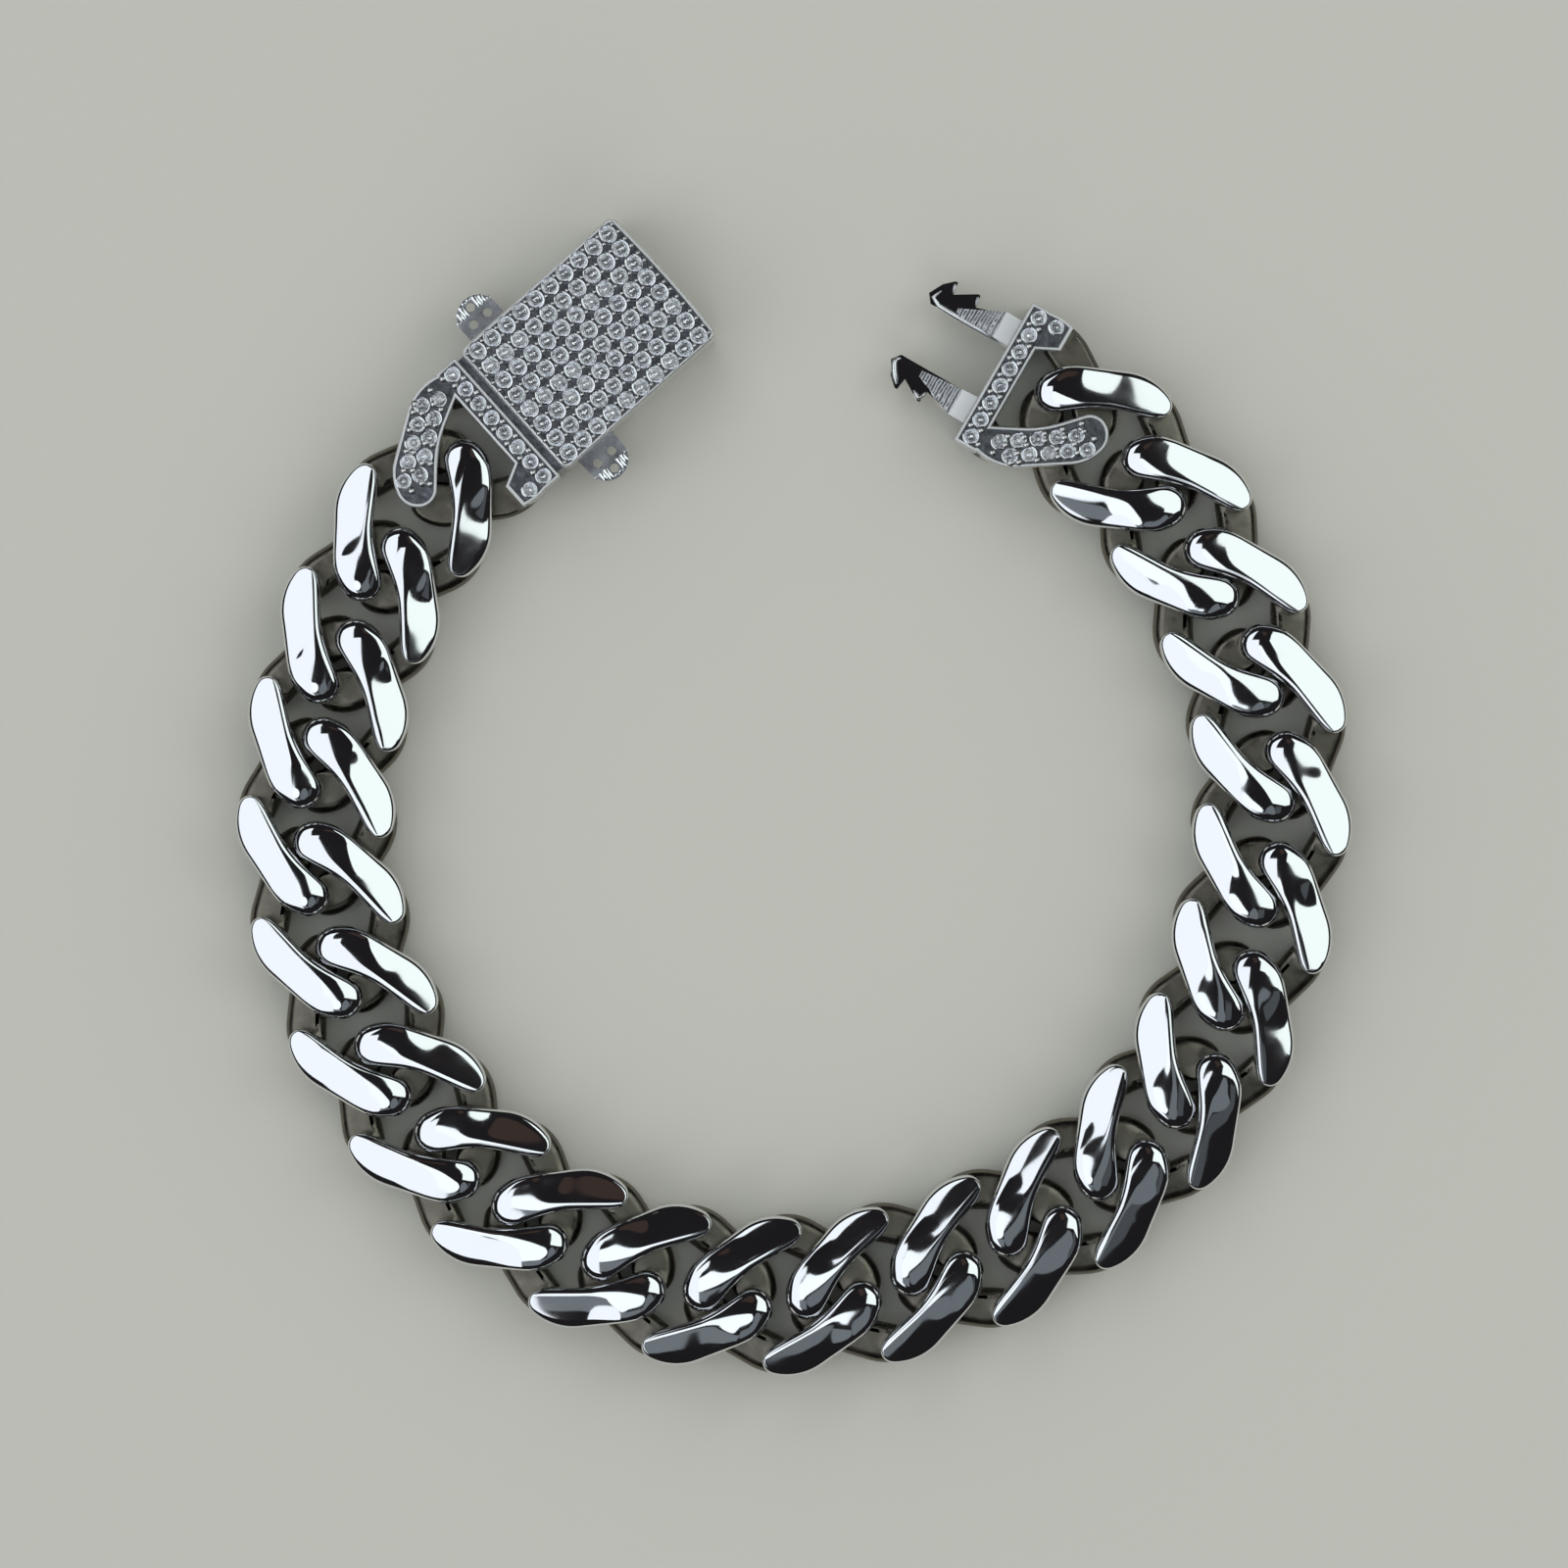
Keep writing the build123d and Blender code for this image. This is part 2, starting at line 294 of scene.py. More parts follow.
def raysRound(values):  # station on the crest, turn from its heading, side of the lobe
    count, fan = values["stations"], values["fanRays"]
    quarter = math.pi / 2
    rays = [(station, quarter, "seam") for station in range(count)]
    rays += [(count - 1, quarter - math.pi * step / fan, "nose") for step in range(1, fan)]
    rays += [(station, -quarter, "outer") for station in reversed(range(count))]
    rays += [(0, -quarter - math.pi * step / fan, "tip") for step in range(1, fan)]
    return rays


def lobeEdge(values, rays, crest, outline):
    headings = np.gradient(crest, axis=0)
    headings /= np.linalg.norm(headings, axis=1)[:, None]
    edge = np.array([rayHit(crest[station], turned(headings[station], turn), outline)
                     for station, turn, _ in rays])
    for axis in (0, 1):
        edge[:, axis] = 0.5 * edge[:, axis] + 0.5 * softened(edge[:, axis], values["edgeBlend"])
    return edge


def crestHeights(values, along):  # it sinks a little towards the tip and the nose
    middle = values["crestMiddle"]
    heights = values["top"] - values["tipSink"] * np.clip(1 - along / middle, 0, 1) ** 2
    return heights - values["noseSink"] * np.clip((along - middle) / (1 - middle), 0, 1) ** 2


def firstSlopes(values, rays, along, crestLength):  # how steeply each ray leaves the crest
    # the fans at both ends carry on the slope that the crest has there
    middle = values["crestMiddle"]
    ends = {"nose": 2 * values["noseSink"] / (1 - middle), "tip": 2 * values["tipSink"] / middle}
    slopes = np.array([ends.get(side, 0) / crestLength * abs(math.cos(turn)) for _, turn, side in rays])
    first, last = values["facetEnds"]
    fade = np.clip((along - first) / (last - first), 0, 1)
    outwards = np.array([max(0, -math.sin(turn)) for _, turn, _ in rays])
    return slopes + values["facetSlope"] * (1 - fade * fade * (3 - 2 * fade)) * outwards


def upperRings(values, rays, origins, edge, heights, slopes):  # from the crest over the rim
    gain, late, rimWidth, rimDepth = (
        softened(np.array([values["sides"][side][column] for _, _, side in rays]), values["sideBlend"])
        for column in range(4))
    reach = np.linalg.norm(edge - origins, axis=1)
    rimStart = 1 - np.minimum(rimWidth / reach, values["widestRim"])
    power = values["latePower"]
    rings = []
    for ring in range(1, values["domeRings"] + values["rimRings"] + 1):
        turn = math.pi / 2 * max(0, ring - values["domeRings"]) / values["rimRings"]
        share = rimStart * min(1, ring / values["domeRings"]) + (1 - rimStart) * math.sin(turn)
        far = reach * share
        fall = far * (slopes + gain * far / 2) + late * reach * share ** power / power
        fall += rimDepth * (1 - math.cos(turn))
        rings.append(np.column_stack([origins + (edge - origins) * share[:, None], heights - fall]))
    return rings


def lowerRings(values, origins, edge, outline):  # down the wall and round under it
    # the wall runs down into the layer below where the lobes of one link overlap
    overlap = np.maximum(insideShare(edge, outline * (1, -1)), insideShare(edge, outline * (-1, 1)))
    joined = softened(overlap, values["joinBlend"])
    lowest = values["underside"] - joined * values["joinDrop"]
    rounding = values["underRounding"] * (1 - joined) + values["leastRounding"]
    reach = np.linalg.norm(edge - origins, axis=1)
    rings = []
    for ring in range(values["underRings"] + 1):
        angle = math.pi / 2 * ring / values["underRings"]
        inset = rounding * (1 - math.cos(angle)) / reach
        height = lowest + rounding * (1 - math.sin(angle))
        rings.append(np.column_stack([origins + (edge - origins) * (1 - inset)[:, None], height]))
    return rings


def lobeFaces(values, rays, ringCount):  # polished ones, and those inside the link: rougher, as cast, in a dark olive colour that is painted shade
    count, total = values["stations"], len(rays)
    base = 2 * count  # the crest and the line below it come first
    last = base + (ringCount - 1) * total
    polished, inner = [], []
    for i, (a, _, _) in enumerate(rays):
        j = (i + 1) % total
        b = rays[j][0]
        if a == b:
            polished.append((a, base + i, base + j))
            inner.append((last + j, last + i, a + count))
        else:
            polished.append((a, base + i, base + j, b))
            inner.append((last + j, last + i, a + count, b + count))
        for ring in range(ringCount - 1):
            low = base + ring * total
            band = polished if ring < values["domeRings"] + values["rimRings"] else inner
            band.append((low + i, low + total + i, low + total + j, low + j))
    return polished, inner


def domedLobe(values, halfLength, halfWidth):
    outline = lobeOutline(values, halfLength, halfWidth)
    count = values["stations"]
    crestPoints = [np.array((along * halfLength, -out * halfWidth)) for along, out in values["crest"]]
    crest = smoothCurve(crestPoints, count)
    crestLength = np.linalg.norm(np.diff(crest, axis=0), axis=1).sum()
    rays = raysRound(values)
    origins = np.array([crest[station] for station, _, _ in rays])
    along = np.array([station / (count - 1) for station, _, _ in rays])
    edge = lobeEdge(values, rays, crest, outline)
    heights = crestHeights(values, along)
    slopes = firstSlopes(values, rays, along, crestLength)
    rings = upperRings(values, rays, origins, edge, heights, slopes)
    rings += lowerRings(values, origins, edge, outline)
    points = [(*crest[station], heights[station]) for station in range(count)]
    points += [(*crest[station], values["underside"]) for station in range(count)]
    for ring in rings:
        points += [tuple(point) for point in ring]
    return points, *lobeFaces(values, rays, len(rings))


def linkPattern(values, halfLength, halfWidth):
    points, polished, inner = domedLobe(values, halfLength, halfWidth)
    turns = [Matrix.Identity(3)] + [Matrix.Rotation(math.pi, 3, axis) for axis in "XYZ"]
    lobes = [([turn @ Vector(point) for point in points], polished, inner) for turn in turns]
    piece = pieceOf("link_pattern", lobes)
    changeMesh(piece, faceOutwards)
    smoothBelow(piece, values["sharpFrom"])
    return piece


linkNames = sorted(name for name in nodes if name.startswith("link_"))
places = [planHeading(trianglesOf(name)) for name in linkNames]
firstLink = pointsOf(linkNames[0])
centre, heading = places[0]
halfLength, halfWidth = np.abs(turned(firstLink[:, :2] - centre, -heading)).max(axis=0)
middleHeight = (firstLink[:, 2].min() + firstLink[:, 2].max()) / 2
print("link size:", round(2 * halfLength, 3), round(2 * halfWidth, 3), "headings:",
      [round(math.degrees(heading), 1) for _, heading in places])

pattern = linkPattern(linkValues, halfLength, halfWidth)
print("link faces:", len(pattern.data.polygons))
for name, ((x, y), heading) in zip(linkNames, places):
    mesh = pattern.data.copy()
    mesh.transform(Matrix.Translation((x * mm, y * mm, middleHeight * mm)) @ Matrix.Rotation(heading, 4, "Z"))
    piece = linked("polished_" + name, mesh)
    finishPiece(piece, [mirrorPolish, castWithPaintedShade], "chain", "chain_metal", name)
bpy.data.objects.remove(pattern)
print("links done")


# Stones: a brilliant cut in each place of the three fields

stoneValues = {
    "sides": 8, "tableShare": 0.57, "starShare": 0.79, "lowerShare": 0.28,  # of the radius
    "crownShare": 0.21, "girdleShare": 0.03,  # of the whole height
    "sunk": 0.04,  # how far it sits below its packed place
    "spin": 37, "spinWithin": 45,  # degrees from one stone to the next, within one side of the cut
    "askew": 6.0, "leastAskew": 0.4,  # degrees, and the least share of them that a stone leans
    "leanStep": 2.7, "leanWay": 2.4,  # how the lean and its direction go on from stone to stone
    # growth of the radius along and across the clasp, to close the gaps of the grid
    "grow": {"box_stones": (0.02, 0.12), "claw_stones": (0.10, 0.10), "tongue_stones": (0.10, 0.10)},
    "index": 2.15, "clear": 0.92,
    "tint": (0.84, 0.90, 0.98, 1), "pale": (0.97, 0.99, 1.0, 1), "cloudScale": 900,
}


def stoneSpots(node):  # centre, radius, foot and top of each loose stone of a field
    form = bmesh.new()
    form.from_mesh(nodes[node].data)
    bmesh.ops.remove_doubles(form, verts=form.verts, dist=0.001 * mm)
    spots = []
    seen = set()
    for start in form.verts:
        if start in seen:
            continue
        group = [start]
        seen.add(start)
        for vertex in group:
            for edge in vertex.link_edges:
                other = edge.other_vert(vertex)
                if other not in seen:
                    seen.add(other)
                    group.append(other)
        points = np.array([vertex.co for vertex in group]) / mm
        centre = (points[:, :2].min(axis=0) + points[:, :2].max(axis=0)) / 2
        radius = np.linalg.norm(points[:, :2] - centre, axis=1).max()
        spots.append((centre[0], centre[1], radius, points[:, 2].min(), points[:, 2].max()))
    form.free()
    return spots


def cutStone(values, radius, height):  # facets of one stone, foot at zero
    sides = values["sides"]
    crown = values["crownShare"] * height
    pavilion = height - crown - values["girdleShare"] * height
    step = math.pi / sides
    half = math.cos(step)
    tableRadius, starRadius, lowerRadius = (
        values[name] * radius for name in ("tableShare", "starShare", "lowerShare"))
    starHeight = height - crown + crown * (radius - starRadius * half) / (radius - tableRadius)
    lowerHeight = pavilion * lowerRadius * half / radius
    vertices = []

    def ring(ringRadius, ringHeight, count, turn):
        start = len(vertices)
        for number in range(count):
            angle = turn + 2 * math.pi * number / count
            vertices.append((ringRadius * math.cos(angle), ringRadius * math.sin(angle), ringHeight))
        return [start + number for number in range(count)]

    table = ring(tableRadius, height, sides, 0)
    stars = ring(starRadius, starHeight, sides, step)
    upper = ring(radius, height - crown, 2 * sides, 0)
    lower = ring(radius, pavilion, 2 * sides, 0)
    deep = ring(lowerRadius, lowerHeight, sides, step)
    vertices.append((0, 0, 0))
    foot = len(vertices) - 1
    faces = [tuple(table)]
    for number in range(sides):
        after = (number + 1) % sides
        beside = 2 * number + 1
        beyond = (2 * number + 2) % (2 * sides)
        faces.append((table[number], stars[number], table[after]))
        faces.append((table[number], stars[number - 1], upper[2 * number], stars[number]))
        faces.append((stars[number], upper[2 * number], upper[beside]))
        faces.append((stars[number], upper[beside], upper[beyond]))
        faces.append((upper[2 * number], lower[2 * number], lower[beside], upper[beside]))
        faces.append((upper[beside], lower[beside], lower[beyond], upper[beyond]))
        faces.append((foot, deep[number], lower[2 * number], deep[number - 1]))
        faces.append((deep[number], lower[beside], lower[2 * number]))
        faces.append((deep[number], lower[beyond], lower[beside]))
    return vertices, faces


def setStone(values, number, spot, heading, grow):  # leaning a little its own way, about its table
    x, y, radius, foot, top = spot
    height = top - foot
    points, faces = cutStone(values, radius, height)
    spin = math.radians(number * values["spin"] % values["spinWithin"])
    least = values["leastAskew"]
    lean = math.radians(values["askew"] * (least + (1 - least) * math.sin(number * values["leanStep"]) ** 2))
    way = number * values["leanWay"]
    growth = [(radius + more) / radius for more in grow]
    vertices = []
    for px, py, pz in points:
        across, rise = px * math.cos(way) + py * math.sin(way), pz - height
        shift = across * (math.cos(lean) - 1) + rise * math.sin(lean)
        pz = foot + pz - values["sunk"] + rise * (math.cos(lean) - 1) - across * math.sin(lean)
        spun = turned((px + shift * math.cos(way), py + shift * math.sin(way)), spin)
        vertices.append((*(turned(spun * growth, heading) + (x, y)), pz))
    return vertices, faces


def stoneFinish(values):
    material, tree, shader = newFinish("clear_crystal")
    place = tree.nodes.new("ShaderNodeTexCoord").outputs["Object"]
    cloud = addNode(tree, "TexNoise", {"Scale": values["cloudScale"], "Vector": place})
    colours = tree.nodes.new("ShaderNodeMix")
    colours.data_type = "RGBA"
    setInputs(tree, colours, {"A": values["tint"], "B": values["pale"], "Factor": cloud.outputs["Fac"]})
    setInputs(tree, shader, {
        "Transmission Weight": values["clear"], "IOR": values["index"], "Roughness": 0,
        "Base Color": colours.outputs["Result"]})
    return material


crystal = stoneFinish(stoneValues)
fields = {node: stoneSpots(node) for node in ("box_stones", "claw_stones", "tongue_stones")}
print("stones:", {node: len(spots) for node, spots in fields.items()})


# Where the clasp lies: its long axis points from the case to the claw

claspPlace = {
    "clawFromBox": 10.73,  # from the middle of the box's stones to the middle of the half link in the claw
    "turnSteps": 3600,
}


def planPoints(spots):
    return np.array([spot[:2] for spot in spots])


def turnBetween(pointsA, pointsB, steps):  # the turn that lays one group of points on another
    middleA, middleB = pointsA.mean(axis=0), pointsB.mean(axis=0)

    def misfit(turn):
        moved = turned(pointsA - middleA, turn) + middleB
        return np.linalg.norm(moved[:, None] - pointsB[None], axis=2).min(axis=1).sum()

    return min((misfit(turn), turn) for turn in np.linspace(0, 2 * math.pi, steps, endpoint=False))


clawSpots, tongueSpots = planPoints(fields["claw_stones"]), planPoints(fields["tongue_stones"])
boxMiddle = planPoints(fields["box_stones"]).mean(axis=0)
claspHeading = planHeading(trianglesOf("box_stones"))[1]
if (clawSpots.mean(axis=0) - boxMiddle) @ (math.cos(claspHeading), math.sin(claspHeading)) < 0:
    claspHeading += math.pi
clawStart = boxMiddle + turned((claspPlace["clawFromBox"], 0), claspHeading)
error, tongueTurn = turnBetween(clawSpots, tongueSpots, claspPlace["turnSteps"])
tongueStart = turned(clawStart - clawSpots.mean(axis=0), tongueTurn) + tongueSpots.mean(axis=0)
tongueHeading = claspHeading + tongueTurn
print("claw at", clawStart.round(3), round(math.degrees(claspHeading), 2), "tongue at", tongueStart.round(3),
      round(math.degrees(tongueHeading), 2), "error", round(error, 3))

for node, spots in fields.items():
    grow = stoneValues["grow"][node]
    piece = pieceOf("cut_" + node, [setStone(stoneValues, number, spot, claspHeading, grow)
                                    for number, spot in enumerate(spots)])
    changeMesh(piece, faceOutwards)
    finishPiece(piece, [crystal], "chain", "clear_stone", node)
print("stones done")


# Clasp: case, tongue and push tabs

claspValues = {
    "sharpFrom": 50,
    "mergeWithin": 0.0005, "flatWithin": 0.3,  # mm and degrees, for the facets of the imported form
    "boxField": 5.2, "clawField": 4.4, "fieldSlack": 0.1,  # heights of the floors that the stones stand on
    "barFar": -2.55,  # the far side of the bar, from the middle of the claw's half link
    "wedgeFoot": 2.3,  # the wedges of the prongs rise from here
    # a face's upward share: flat ones, nearly flat ones, slanting ones and those that open upwards
    "flat": 0.999, "nearlyFlat": 0.97, "slanting": 0.5, "upwards": 0.3,
}
claspFinishes = {
    "polished": metalFinish("polished_clasp", {**polishValues, "wave": 0.006, "waveSize": 3.0}),
    "rim": metalFinish("bright_rim", {
        "colour": (1.0, 1.0, 1.0, 1), "roughness": (0.40, 0.48),
        "smudgeSize": 1.5, "wave": 0.01, "waveSize": 2.0,
    }),
    "wedge": metalFinish("frosted_wedge", {
        "colour": (0.78, 0.79, 0.84, 1), "roughness": (0.26, 0.36),
        "smudgeSize": 0.5, "wave": 0.03, "waveSize": 0.35,
        "ridges": (0.46, 0.10),  # pitch and rise
    }, tongueHeading),
    # floors between the stones: their dark colour is painted shade in the recesses beside the stones and beads
    "floor": metalFinish("field_floor_painted_shade", {
        "colour": (0.22, 0.225, 0.25, 1), "roughness": (0.20, 0.30),
        "smudgeSize": 0.6, "wave": 0.02, "waveSize": 0.6,
    }),
    # the claw's upward faces inside its half link take the same painted shade as the links' insides
    "cast_with_shade": castWithPaintedShade,
}
satin = metalFinish("satin_tab", {
    "colour": (0.74, 0.75, 0.79, 1), "roughness": (0.17, 0.24),
    "smudgeSize": 1.2, "wave": 0.008, "waveSize": 1.0,
})


def finishOfFace(values, start, heading, prongs=False):
    def finishName(face):
        middle = face.calc_center_median() / mm
        along = turned((middle.x - start[0], middle.y - start[1]), -heading)[0]
        upward = face.normal.z
        if middle.z > values["clawField"] - values["fieldSlack"]:  # the floors and rims round the stones
            if upward < values["nearlyFlat"]:
                return "rim" if upward > values["slanting"] else "polished"
            off = min(abs(middle.z - values["boxField"]), abs(middle.z - values["clawField"]))
            return "floor" if off < values["fieldSlack"] else "rim"
        if prongs and along < values["barFar"]:
            if middle.z > values["wedgeFoot"] and upward > values["flat"]:
                return "rim"
            return "wedge" if middle.z > values["wedgeFoot"] and upward > values["slanting"] else "polished"
        return "cast_with_shade" if along > values["barFar"] and upward > values["upwards"] else "polished"
    return finishName


def smoothedCopy(values, node, newName, finishName=None):  # the node's form, smooth over its small bevels
    form = bmesh.new()
    form.from_mesh(nodes[node].data)
    bmesh.ops.remove_doubles(form, verts=form.verts, dist=values["mergeWithin"] * mm)
    bmesh.ops.dissolve_limit(form, angle_limit=math.radians(values["flatWithin"]), verts=form.verts,
                             edges=form.edges)
    names = list(claspFinishes)
    for face in form.faces:
        face.material_index = names.index(finishName(face)) if finishName else 0
    mesh = bpy.data.meshes.new(newName)
    form.to_mesh(mesh)
    form.free()
    piece = linked(newName, mesh)
    smoothBelow(piece, values["sharpFrom"])
    even = piece.modifiers.new("even_shading", "WEIGHTED_NORMAL")
    even.keep_sharp = True
    return piece


case = smoothedCopy(claspValues, "clasp_box", "polished_case",
                    finishOfFace(claspValues, clawStart, claspHeading))
finishPiece(case, claspFinishes.values(), "chain", "clasp_metal", "clasp_box")
tongue = smoothedCopy(claspValues, "tongue", "polished_tongue",
                      finishOfFace(claspValues, tongueStart, tongueHeading, prongs=True))
finishPiece(tongue, claspFinishes.values(), "chain", "clasp_metal", "tongue")
for side in ("outer", "inner"):
    tab = smoothedCopy(claspValues, "tab_" + side, "satin_tab_" + side)
    finishPiece(tab, [satin], "tab_" + side, "tab_metal", "tab_" + side)


# Rounded bright edges on the prongs: points run back from the bar and out from the middle of the tongue

prongEdgeValues = {
    "start": 2.5, "foot": 2.05, "sides": 8, "rows": 10, "sharpFrom": 60,
    "endShare": 0.35, "taper": 0.35, "leastRise": 0.3,  # how the ends thin out
    # side of the tongue, half width, half height, points
    "edges": [
        (1, 0.30, 0.30, [(0.3, 2.36), (3.4, 2.36), (6.2, 2.40), (6.75, 2.64), (6.80, 3.05), (6.5, 3.45)]),
        (1, 0.13, 0.30, [(5.62, 3.72), (5.86, 4.44)]),
        (1, 0.13, 0.30, [(3.66, 3.72), (3.90, 4.44)]),
        (-1, 0.24, 0.30, [(0.75, 4.24), (1.2, 4.18), (3.3, 3.58)]),
        (-1, 0.22, 0.30, [(3.72, 3.75), (3.98, 4.36), (4.6, 4.02)]),
        (-1, 0.30, 0.30, [(6.62, 2.45), (6.90, 2.80), (6.58, 3.50), (5.95, 4.28)]),
    ],
    "finish": {
        "colour": (0.97, 0.98, 1.0, 1), "roughness": (0.24, 0.32),
        "smudgeSize": 1.5, "wave": 0.01, "waveSize": 2.0,
    },
}


def prongEdge(values, side, halfWidth, halfHeight, points):
    rows, sides = values["rows"], values["sides"]
    line = smoothCurve([np.array((-values["start"] - back, side * out)) for back, out in points], rows)
    least = values["leastRise"]
    vertices = []
    for number, (spot, step) in enumerate(zip(line, np.gradient(line, axis=0))):
        share = math.sin(math.pi * (number + values["endShare"]) / (rows - 1 + 2 * values["endShare"]))
        share = share ** values["taper"]
        sideways = np.array((-step[1], step[0])) / np.linalg.norm(step)
        for turn in np.linspace(0, math.pi, sides):
            x, y = turned(spot + sideways * (halfWidth * share * math.cos(turn)), tongueHeading) + tongueStart
            height = halfHeight * (least + (1 - least) * share) * math.sin(turn)
            vertices.append((x, y, values["foot"] + height))
    faces = []
    for row in range(rows - 1):
        low = row * sides
        for column in range(sides - 1):
            faces.append((low + column, low + column + 1, low + column + sides + 1, low + column + sides))
        faces.append((low + sides - 1, low, low + sides, low + 2 * sides - 1))
    faces.append(tuple(range(sides)))
    faces.append(tuple(reversed(range((rows - 1) * sides, rows * sides))))
    return vertices, faces


edges = pieceOf("prong_edges", [prongEdge(prongEdgeValues, *edge) for edge in prongEdgeValues["edges"]])
changeMesh(edges, faceOutwards)
smoothBelow(edges, prongEdgeValues["sharpFrom"])
finishPiece(edges, [metalFinish("bright_edge", prongEdgeValues["finish"])], "chain", "clasp_metal")
print("case, tongue and tabs done")


# Settings: a cone under each stone and the beads that hold it

settingValues = {
    "coneSides": 16, "coneWall": 0.03, "coneHollow": 0.12,  # the hollow's foot is a share of the radius
    "beadSides": 10, "beadRings": 3, "beadRise": 0.5,  # rise of the cap as a share of its radius
    "footSunk": 0.02, "beadSunk": 0.03,
    "boxBead": (0.20, 0.19), "boxPitch": 1.445, "boxBeadRows": 11, "boxBeadsPerRow": 16,
    "clawBead": (0.30, 0.30),
    # beads of the claw, along and across from the middle of its half link
    "barBeads": [(-1.645 + side * 0.42, (step - 3) * 1.45) for step in range(7) for side in (-1, 1)],
    "armBeads": [
        (-0.88, -5.33), (0.36, -5.33), (1.90, -5.33), (2.41, -4.96), (0.15, -4.16), (0.88, -4.38), (1.97, -4.45),
        (0.73, -3.72), (2.26, -3.58), (3.50, -4.16), (1.82, -3.14), (3.87, -3.21), (4.74, -3.14), (3.28, -2.63),
        (4.38, -2.70), (2.99, -2.19), (4.45, -1.68), (5.33, -1.75), (5.84, -2.19), (4.01, -1.24), (5.47, -0.58),
        (6.42, -0.66), (5.04, -0.15),
    ],
    "sharpFrom": 50,
    "beadFinish": {
        "colour": (1.0, 1.0, 1.0, 1), "roughness": (0.30, 0.38),
        "smudgeSize": 0.8, "wave": 0.01, "waveSize": 2.0,
    },
}


def ovalRing(x, y, height, radii, sides, heading):  # points round an oval at one height
    points = []
    for side in range(sides):
        around = 2 * math.pi * side / sides
        offset = turned((radii[0] * math.cos(around), radii[1] * math.sin(around)), heading)
        points.append((x + offset[0], y + offset[1], height))
    return points


def beadForm(values, x, y, foot, top, radii, heading):
    sides, count = values["beadSides"], values["beadRings"]
    rise = values["beadRise"] * min(radii)
    vertices = [(x, y, top)]
    for ring in range(1, count + 2):  # the last ring stands at the foot
        angle = math.pi / 2 * min(ring, count) / count
        height = foot if ring > count else top - rise * math.sin(angle) ** 2
        vertices += ovalRing(x, y, height, [radius * math.sin(angle) for radius in radii], sides, heading)
    faces = []
    for side in range(sides):
        after = (side + 1) % sides
        faces.append((0, 1 + side, 1 + after))
        for low in range(1, 1 + count * sides, sides):
            faces.append((low + side, low + sides + side, low + sides + after, low + after))
    return vertices, [], faces


def coneForm(values, spot, grow, heading):
    x, y, radius, foot, top = spot
    sides, wall = values["coneSides"], values["coneWall"]
    girdle = top - stoneValues["crownShare"] * (top - foot)
    foot -= values["footSunk"]
    rings = ((radius + wall, foot), (radius + wall, girdle), (radius, girdle),
             (values["coneHollow"] * radius, foot))
    vertices = []
    for ringRadius, height in rings:
        radii = [(1 + more / radius) * ringRadius for more in grow]
        vertices += ovalRing(x, y, height, radii, sides, heading)
    faces = []
    for side in range(sides):
        after = (side + 1) % sides
        for low in range(0, (len(rings) - 1) * sides, sides):
            faces.append((low + side, low + after, low + sides + after, low + sides + side))
    return vertices, faces


def settingPiece(values, name, node, beadPlaces, radii, start, heading):
    foot, top = fields[node][0][3:]
    cones = [coneForm(values, spot, stoneValues["grow"][node], claspHeading) for spot in fields[node]]
    beads = [beadForm(values, *(turned(place, heading) + start), foot - values["footSunk"],
                      top - values["beadSunk"], radii, heading) for place in beadPlaces]
    piece = pieceOf(name, cones + beads)
    smoothBelow(piece, values["sharpFrom"])
    finishPiece(piece, [claspFinishes["polished"], brightBead], "chain", "clasp_metal")


brightBead = metalFinish("bright_bead", settingValues["beadFinish"])
rows, beads, pitch = settingValues["boxBeadRows"], settingValues["boxBeadsPerRow"], settingValues["boxPitch"]
boxPlaces = [((row - (rows - 1) / 2) * pitch, (bead - (beads - 1) / 2) * pitch / 2)
             for row in range(rows) for bead in range(beads)]
clawPlaces = settingValues["barBeads"] + settingValues["armBeads"]
for name, beadPlaces, radii, start, heading in (
        ("box", boxPlaces, settingValues["boxBead"], boxMiddle, claspHeading),
        ("claw", clawPlaces, settingValues["clawBead"], clawStart, claspHeading),
        ("tongue", clawPlaces, settingValues["clawBead"], tongueStart, tongueHeading)):
    settingPiece(settingValues, name + "_setting", name + "_stones", beadPlaces, radii, start, heading)
print("settings done")


# Grip ridges on the push tabs, along the way they slide

gripValues = {
    "pitch": 0.42, "width": 0.34, "height": 0.05, "count": 8,
    "tabRadius": 1.65, "holeEnd": 1.36, "holeHalf": 0.5, "start": 0.5,  # the middle ridges start past the hole
    "edgeGap": 0.10, "leastLength": 0.12, "endLength": 0.1, "sunk": 0.02,
    "profile": [(-1, 0.0), (-0.5, 0.8), (0, 1.0), (0.5, 0.8), (1, 0.0)],  # shares of half width and height
    "sharpFrom": 60,
}


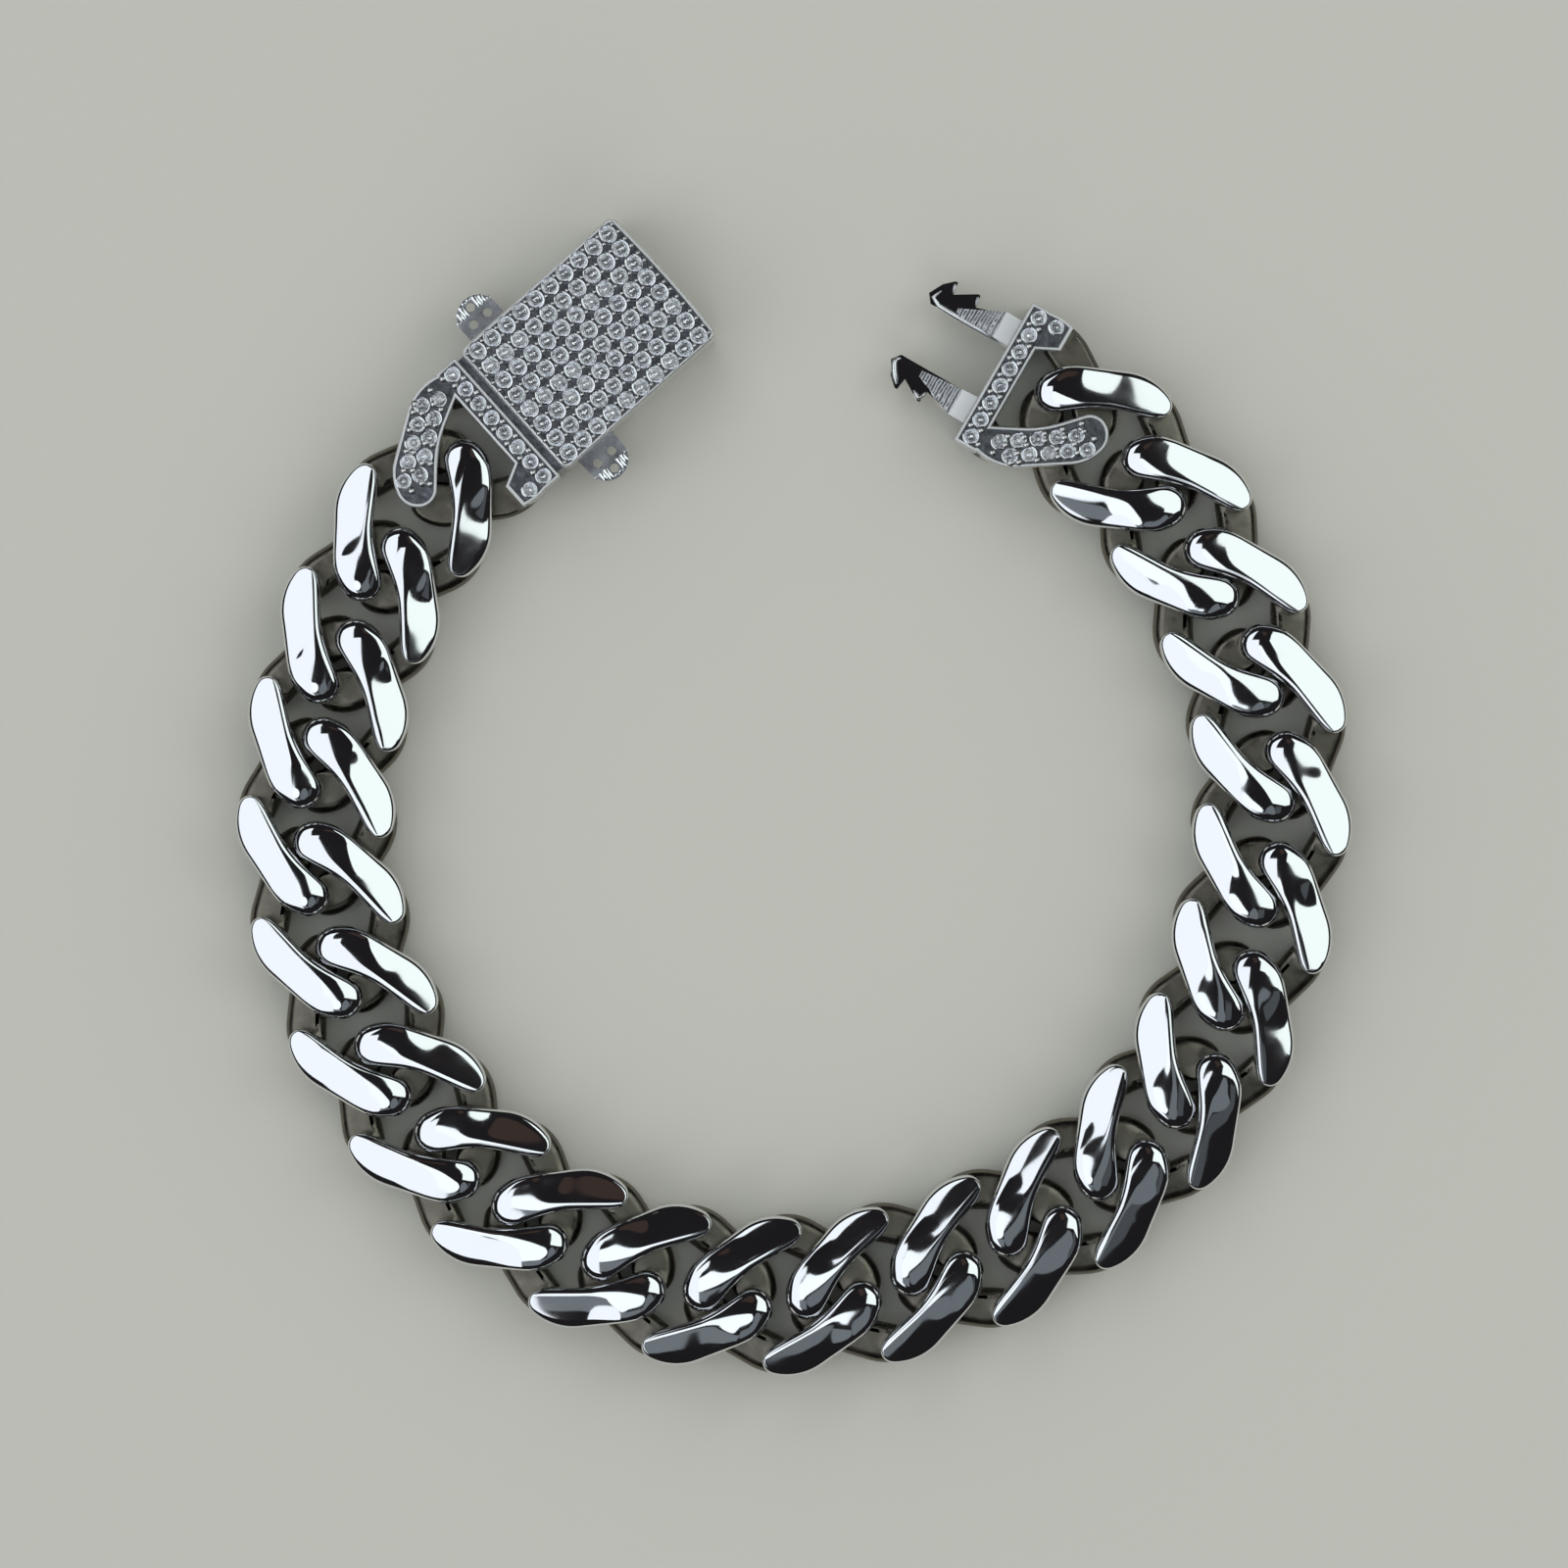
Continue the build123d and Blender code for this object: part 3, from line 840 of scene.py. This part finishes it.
def gripRidges(values, side):
    tab = pointsOf("tab_" + side)
    flat = turned(tab[:, :2] - boxMiddle, -claspHeading)
    outwards = 1 if flat[:, 1].mean() > 0 else -1
    middle = (flat[:, 0].min() + flat[:, 0].max()) / 2
    disc = np.abs(flat[:, 1]).max() - values["tabRadius"]
    low = tab[:, 2].max() - values["sunk"]
    profile = values["profile"]
    columns = len(profile)
    ridges = []
    for number in range(values["count"]):
        across = (number - (values["count"] - 1) / 2) * values["pitch"]
        far = math.sqrt(values["tabRadius"] ** 2 - across ** 2) - values["edgeGap"]
        near = values["holeEnd"] if abs(across) < values["holeHalf"] else values["start"]
        if far - near < values["leastLength"]:
            continue
        vertices = []
        for along, share in ((near, 0), (near + values["endLength"], 1), (far - values["endLength"], 1), (far, 0)):
            for offset, rise in profile:
                spot = (middle + across + offset * values["width"] / 2, outwards * (disc + along))
                vertices.append((*(turned(spot, claspHeading) + boxMiddle), low + values["height"] * rise * share))
        corners = [row * columns + column for row in range(3) for column in range(columns - 1)]
        ridges.append((vertices, [(start, start + 1, start + columns + 1, start + columns) for start in corners]))
    piece = pieceOf("grip_ridges_" + side, ridges)
    changeMesh(piece, faceUpwards)
    smoothBelow(piece, values["sharpFrom"])
    finishPiece(piece, [claspFinishes["polished"]], "tab_" + side, "tab_metal")


for side in ("outer", "inner"):
    gripRidges(gripValues, side)
print("grip ridges done")


# Floor, light and camera, in metres

studioValues = {
    "floorSize": 4, "floorColour": (0.50, 0.50, 0.45, 1), "floorRoughness": 0.8,
    "cameraHeight": 0.46, "cameraX": -0.00073, "cameraY": 0.0011, "lens": 140.2, "nearest": 0.01,
    # softboxes over the table: x from and to, y from and to, radiance, colour
    "softboxHeight": 1.5,
    "softboxes": [
        ("left", -1.7, -0.165, -1.0, 0.14, 1.1, (0.90, 0.95, 1.0)),
        ("leftFar", -1.7, -0.42, 0.14, 1.2, 1.1, (0.90, 0.95, 1.0)),
        ("leftUnder", -0.30, 0.05, -0.40, -0.04, 0.95, (0.88, 0.95, 1.0)),
        ("right", 0.16, 1.7, 0.03, 1.3, 1.1, (0.91, 1.0, 0.97)),
        ("front", -0.165, 0.075, -0.76, -0.41, 0.19, (0.80, 0.92, 1.0)),
        ("frontMiddle", 0.075, 0.36, -0.66, -0.06, 0.13, (0.80, 0.92, 1.0)),
        ("frontRight", 0.36, 0.58, -0.45, -0.10, 0.07, (0.80, 0.92, 1.0)),
        ("back", -0.08, 0.12, 0.28, 0.8, 0.025, (1.0, 0.60, 0.42)),
        ("fill", -1.5, 1.5, -1.5, 1.5, 0.75, (1.0, 1.0, 1.0)),
    ],
    "turned": {"right": -10},  # degrees, about the first corner
    "round": ("leftUnder", "frontMiddle", "back"),
    # the fill above and four more at the sides are seen only by the floor and the stones
    "unmirrored": ("fill", "side_fill"),
    "sideRadiance": 1.6, "sideSize": (1.2, 0.8), "sideDistance": 1.1, "sideHeight": 0.6, "sideTurn": 0.3,
    "surround": (0.012, 0.011, 0.012, 1),
}


def panel(values, name, size, radiance, colour, location, rotation):
    lamp = bpy.data.lights.new(name, "AREA")
    lamp.shape = "ELLIPSE" if name in values["round"] else "RECTANGLE"
    lamp.size, lamp.size_y = size
    lamp.energy = radiance * lamp.size * lamp.size_y * math.pi
    lamp.color = colour
    holder = linked(name, lamp)
    holder.location = location
    holder.rotation_euler = rotation
    holder.visible_camera = False
    holder.visible_glossy = name not in values["unmirrored"]


def studio(values):
    bpy.ops.mesh.primitive_plane_add(size=values["floorSize"])
    floor = bpy.context.object
    floor.name = "floor"
    material, tree, shader = newFinish("pale_floor")
    setInputs(tree, shader, {"Base Color": values["floorColour"], "Roughness": values["floorRoughness"]})
    floor.data.materials.append(material)
    for name, x1, x2, y1, y2, radiance, colour in values["softboxes"]:
        turn = math.radians(values["turned"].get(name, 0))
        middle = turned(((x2 - x1) / 2, (y2 - y1) / 2), turn)
        location = (x1 + middle[0], y1 + middle[1], values["softboxHeight"])
        panel(values, name, (x2 - x1, y2 - y1), radiance, colour, location, (0, 0, turn))
    distance, height = values["sideDistance"], values["sideHeight"]
    for number in range(4):
        turn = math.pi / 2 * number + values["sideTurn"]
        location = (distance * math.cos(turn), distance * math.sin(turn), height)
        tilt = (math.atan2(distance, height), 0, turn + math.pi / 2)
        panel(values, "side_fill", values["sideSize"], values["sideRadiance"], (1, 1, 1), location, tilt)
    world = bpy.data.worlds.new("surround")
    world.use_nodes = True
    world.node_tree.nodes["Background"].inputs["Color"].default_value = values["surround"]
    bpy.context.scene.world = world
    cameraData = bpy.data.cameras.new("camera")
    cameraData.lens = values["lens"]
    cameraData.clip_start = values["nearest"]
    camera = linked("camera", cameraData)
    camera.location = (values["cameraX"], values["cameraY"], values["cameraHeight"])
    bpy.context.scene.camera = camera
    bpy.context.scene.view_settings.view_transform = "Standard"


studio(studioValues)
print("studio done")
